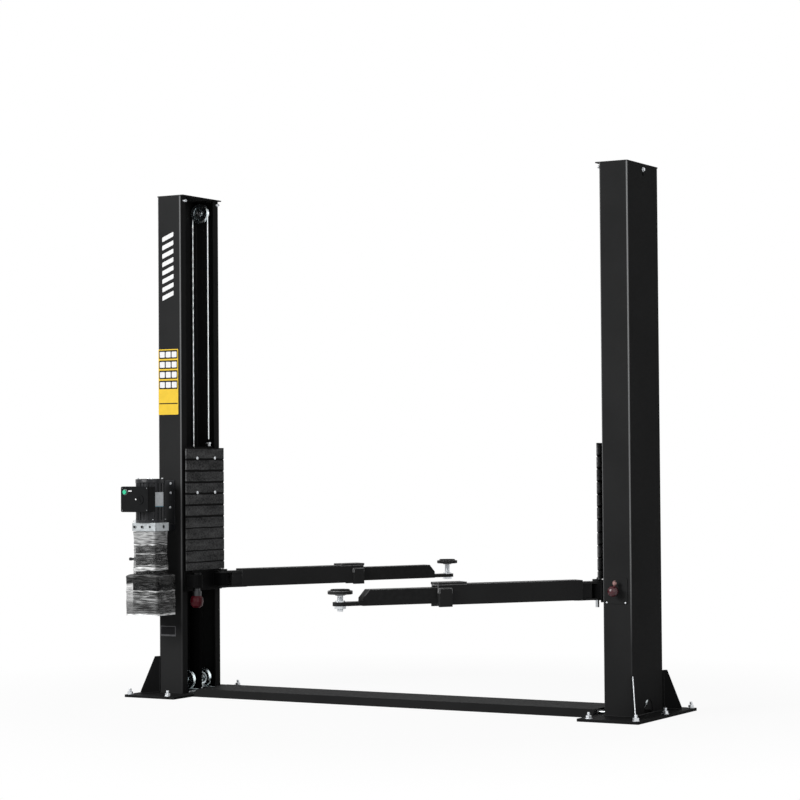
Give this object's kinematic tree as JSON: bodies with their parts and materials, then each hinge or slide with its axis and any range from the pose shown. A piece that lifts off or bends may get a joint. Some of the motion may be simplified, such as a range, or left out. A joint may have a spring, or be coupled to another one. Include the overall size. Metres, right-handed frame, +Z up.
{
  "type": "two post car lift",
  "caption": "Floor-plate two post vehicle lift with sliding carriages, telescoping swing arms, cable equalization under a floor cover and a hydraulic power unit.",
  "frame": {"origin": "on the floor, midway between the two posts", "axes": "+X towards the right post, +Y to the rear, +Z up"},
  "size_m": [3.138, 2.8581, 2.82],
  "materials": {
    "grey_paint": "dark grey powder coat, satin",
    "black_paint": "black powder coat, satin",
    "zinc": "zinc plated",
    "steel_cable": "stranded, lightly greased",
    "chrome": "polished",
    "black_rubber": "moulded, matt",
    "aluminium": "machined",
    "red_plastic": "semi-gloss",
    "green_plastic": "semi-gloss",
    "black_plastic": "fine grain",
    "tank_film": "loosely wrapped in clear film over a grey tank"
  },
  "bodies": {
    "root": {"left_post": "grey_paint", "right_post": "grey_paint", "left_base_plate": "grey_paint", "right_base_plate": "grey_paint", "left_top_plate": "grey_paint", "right_top_plate": "grey_paint", "left_lock_cover": "grey_paint", "right_lock_cover": "grey_paint", "floor_cover": "grey_paint", "left_release_knob": "red_plastic", "right_release_knob": "red_plastic", "left_top_sheave_bracket": "zinc", "right_top_sheave_bracket": "zinc", "left_floor_sheave_bracket": "zinc", "right_floor_sheave_bracket": "zinc", "left_cable": "steel_cable", "right_cable": "steel_cable", "left_cable_upper_run": "steel_cable", "right_cable_upper_run": "steel_cable", "left_cable_lower_run": "steel_cable", "right_cable_lower_run": "steel_cable", "left_cylinder_barrel": "black_paint", "right_cylinder_barrel": "black_paint", "unit_bracket": "black_paint", "valve_block": "aluminium", "motor": "black_paint", "oil_tank": "tank_film", "control_box": "black_plastic"},
    "left_top_sheave": {"left_top_sheave": "zinc"},
    "right_top_sheave": {"right_top_sheave": "zinc"},
    "left_near_floor_sheave": {"left_near_floor_sheave": "zinc"},
    "right_near_floor_sheave": {"right_near_floor_sheave": "zinc"},
    "left_far_floor_sheave": {"left_far_floor_sheave": "zinc"},
    "right_far_floor_sheave": {"right_far_floor_sheave": "zinc"},
    "left_rod": {"left_cylinder_rod": "chrome"},
    "right_rod": {"right_cylinder_rod": "chrome"},
    "left_carriage": {"left_carriage": "black_paint", "left_guard_panel": "black_rubber", "left_arm_pin": "zinc", "left_spare_pin": "red_plastic"},
    "right_carriage": {"right_carriage": "black_paint", "right_guard_panel": "black_rubber", "right_arm_pin": "zinc", "right_spare_pin": "red_plastic"},
    "left_arm": {"left_arm_outer": "black_paint"},
    "right_arm": {"right_arm_outer": "black_paint"},
    "left_arm_extension": {"left_arm_inner": "black_paint"},
    "right_arm_extension": {"right_arm_inner": "black_paint"},
    "left_pad": {"left_pad_screw": "zinc", "left_pad": "black_rubber"},
    "right_pad": {"right_pad_screw": "zinc", "right_pad": "black_rubber"},
    "start_button": {"start_button": "green_plastic"}
  },
  "joints": [
    {"name": "left_carriage_lift", "type": "slide", "parent": "root", "child": "left_carriage", "axis": [0, 0, 1], "range_m": [-0.43, 1.2], "deforming": ["left_cable_upper_run", "left_cable_lower_run"]},
    {"name": "right_carriage_lift", "type": "slide", "parent": "root", "child": "right_carriage", "axis": [0, 0, 1], "range_m": [-0.43, 1.2], "deforming": ["right_cable_upper_run", "right_cable_lower_run"]},
    {"name": "left_rod_slide", "type": "slide", "parent": "root", "child": "left_rod", "axis": [0, 0, 1], "range_m": [-0.216, 0.601]},
    {"name": "right_rod_slide", "type": "slide", "parent": "root", "child": "right_rod", "axis": [0, 0, 1], "range_m": [-0.216, 0.601]},
    {"name": "left_top_sheave_spin", "type": "hinge", "parent": "root", "child": "left_top_sheave", "pos_m": [-1.38, 0.12, 2.745], "axis": [0, -1, 0], "range_deg": [-480, 1330]},
    {"name": "right_top_sheave_spin", "type": "hinge", "parent": "root", "child": "right_top_sheave", "pos_m": [1.38, -0.12, 2.745], "axis": [0, 1, 0], "range_deg": [-480, 1330]},
    {"name": "left_near_sheave_spin", "type": "hinge", "parent": "root", "child": "left_near_floor_sheave", "pos_m": [-1.38, 0.12, 0.077], "axis": [0, -1, 0], "range_deg": [-480, 1330]},
    {"name": "right_near_sheave_spin", "type": "hinge", "parent": "root", "child": "right_near_floor_sheave", "pos_m": [1.38, -0.12, 0.077], "axis": [0, 1, 0], "range_deg": [-480, 1330]},
    {"name": "left_far_sheave_spin", "type": "hinge", "parent": "root", "child": "left_far_floor_sheave", "pos_m": [-1.38, -0.035, 0.077], "axis": [0, 1, 0], "range_deg": [-480, 1330]},
    {"name": "right_far_sheave_spin", "type": "hinge", "parent": "root", "child": "right_far_floor_sheave", "pos_m": [1.38, 0.035, 0.077], "axis": [0, -1, 0], "range_deg": [-480, 1330]},
    {"name": "left_arm_swing", "type": "hinge", "parent": "left_carriage", "child": "left_arm", "pos_m": [-1.24, 0.13, 0.64], "axis": [0, 0, 1], "range_deg": [-59, 17]},
    {"name": "right_arm_swing", "type": "hinge", "parent": "right_carriage", "child": "right_arm", "pos_m": [1.24, -0.13, 0.64], "axis": [0, 0, 1], "range_deg": [-51, 25]},
    {"name": "left_arm_extend", "type": "slide", "parent": "left_arm", "child": "left_arm_extension", "axis": [0.4802, 0.8771, 0], "range_m": [-0.42, 0.14]},
    {"name": "right_arm_extend", "type": "slide", "parent": "right_arm", "child": "right_arm_extension", "axis": [-0.5892, -0.808, 0], "range_m": [-0.32, 0.238]},
    {"name": "left_pad_height", "type": "slide", "parent": "left_arm_extension", "child": "left_pad", "axis": [0, 0, 1], "range_m": [-0.045, 0.01]},
    {"name": "right_pad_height", "type": "slide", "parent": "right_arm_extension", "child": "right_pad", "axis": [0, 0, 1], "range_m": [-0.02, 0.035]},
    {"name": "start_button_press", "type": "slide", "parent": "root", "child": "start_button", "axis": [0, 1, 0], "range_m": [0, 0.003], "stiffness_N_per_m": 400}
  ],
  "couplings": [
    {"joint": "right_carriage_lift", "follows": "left_carriage_lift", "ratio": 1},
    {"joint": "left_rod_slide", "follows": "left_carriage_lift", "ratio": 0.5},
    {"joint": "right_rod_slide", "follows": "left_carriage_lift", "ratio": 0.5},
    {"joint": "left_top_sheave_spin", "follows": "left_carriage_lift", "rad_per_m": 19.231},
    {"joint": "right_top_sheave_spin", "follows": "left_carriage_lift", "rad_per_m": 19.231},
    {"joint": "left_near_sheave_spin", "follows": "left_carriage_lift", "rad_per_m": 19.231},
    {"joint": "right_near_sheave_spin", "follows": "left_carriage_lift", "rad_per_m": 19.231},
    {"joint": "left_far_sheave_spin", "follows": "left_carriage_lift", "rad_per_m": 19.231},
    {"joint": "right_far_sheave_spin", "follows": "left_carriage_lift", "rad_per_m": 19.231}
  ]
}
